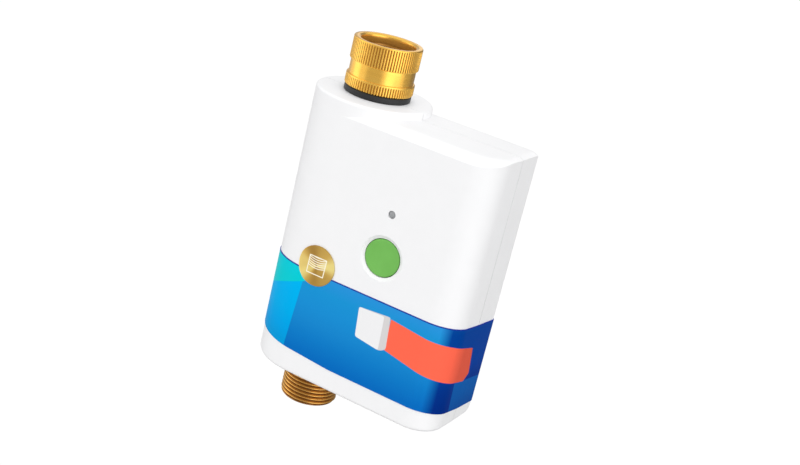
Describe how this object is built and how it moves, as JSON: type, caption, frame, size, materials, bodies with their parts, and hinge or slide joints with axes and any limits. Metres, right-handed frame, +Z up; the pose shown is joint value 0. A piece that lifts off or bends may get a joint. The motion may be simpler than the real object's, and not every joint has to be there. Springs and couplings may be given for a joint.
{
  "type": "smart irrigation controller",
  "caption": "Tap-mounted watering valve: knurled swivel nut, round pipe column with a box beside it, push button, printed wrap and a male hose thread below.",
  "frame": {"origin": "centre of the inlet thread's inner end, on the pipe axis, where the tap's spout seats", "axes": "+Z up along the pipe towards the tap, +X from the column towards the box, -Y is the front with the button"},
  "size_m": [0.1026, 0.0533, 0.1731],
  "materials": {
    "housing_white": "satin moulded",
    "seal_grey": "matte",
    "screw_steel": "bright",
    "brass_bright": "polished",
    "brass_cast": "machined",
    "rubber_black": "matte",
    "steel_bright": "bright",
    "seat_white": "waxy",
    "ball_chrome": "mirror",
    "gear_natural": "satin",
    "frame_black": "satin",
    "button_green": "satin",
    "light_grey": "translucent",
    "led_white": "gloss",
    "board_green": "solder mask",
    "cell_wrap": "printed film",
    "sleeve_blue": "printed film",
    "badge_gold": "printed film"
  },
  "bodies": {
    "controller": {"front_shell": "housing_white", "rear_shell": "housing_white", "housing_gasket": "seal_grey", "housing_screws": "screw_steel", "battery_cover": "housing_white", "cover_gasket": "seal_grey", "cover_screws": "screw_steel", "board_screws": "screw_steel", "inlet_washer": "rubber_black", "inlet_neck": "brass_cast", "filter_screen": "steel_bright", "neck_seal": "rubber_black", "valve_body": "brass_cast", "seat_rings": "seat_white", "outlet_nipple": "brass_bright", "outlet_seal": "rubber_black", "idler_shaft": "steel_bright", "gear_frame": "frame_black", "motor_plate": "steel_bright", "frame_screws": "screw_steel", "motor_screws": "screw_steel", "motor_can": "steel_bright", "motor_endcap": "frame_black", "tact_switch": "frame_black", "light_pipe": "light_grey", "status_led": "led_white", "circuit_board": "board_green", "radio_module": "steel_bright", "board_parts": "frame_black", "battery_holder": "frame_black", "battery_cells": "cell_wrap", "battery_contacts": "steel_bright", "printed_sleeve": "sleeve_blue", "badge_disc": "badge_gold"},
    "swivel_nut": {"inlet_nut": "brass_bright"},
    "push_button": {"button_cap": "button_green", "switch_plunger": "frame_black"},
    "valve_drive": {"valve_ball": "ball_chrome", "valve_stem": "brass_cast", "stem_seals": "rubber_black", "drive_gear": "gear_natural", "gear_screw": "screw_steel"},
    "idler": {"idler_gear": "gear_natural"},
    "motor_rotor": {"motor_pinion": "brass_bright", "motor_shaft": "steel_bright"}
  },
  "joints": [
    {"name": "inlet_nut_spin", "type": "hinge", "parent": "controller", "child": "swivel_nut", "pos_m": [0, 0, 0], "axis": [0, 0, 1], "continuous": true},
    {"name": "button_press", "type": "slide", "parent": "controller", "child": "push_button", "axis": [0, 1, 0], "range_m": [0, 0.0005], "stiffness_N_per_m": 600},
    {"name": "valve_turn", "type": "hinge", "parent": "controller", "child": "valve_drive", "pos_m": [0, 0, -0.088], "axis": [1, 0, 0], "range_deg": [0, 90]},
    {"name": "idler_turn", "type": "hinge", "parent": "controller", "child": "idler", "pos_m": [0.03, 0, -0.1036], "axis": [1, 0, 0], "range_deg": [-300.1, 0.1]},
    {"name": "motor_turn", "type": "hinge", "parent": "controller", "child": "motor_rotor", "pos_m": [0.03, 0, -0.118], "axis": [1, 0, 0], "range_deg": [-0.1, 900.1]}
  ],
  "couplings": [
    {"joint": "idler_turn", "follows": "valve_turn", "ratio": -3.3333},
    {"joint": "motor_turn", "follows": "valve_turn", "ratio": 10}
  ]
}
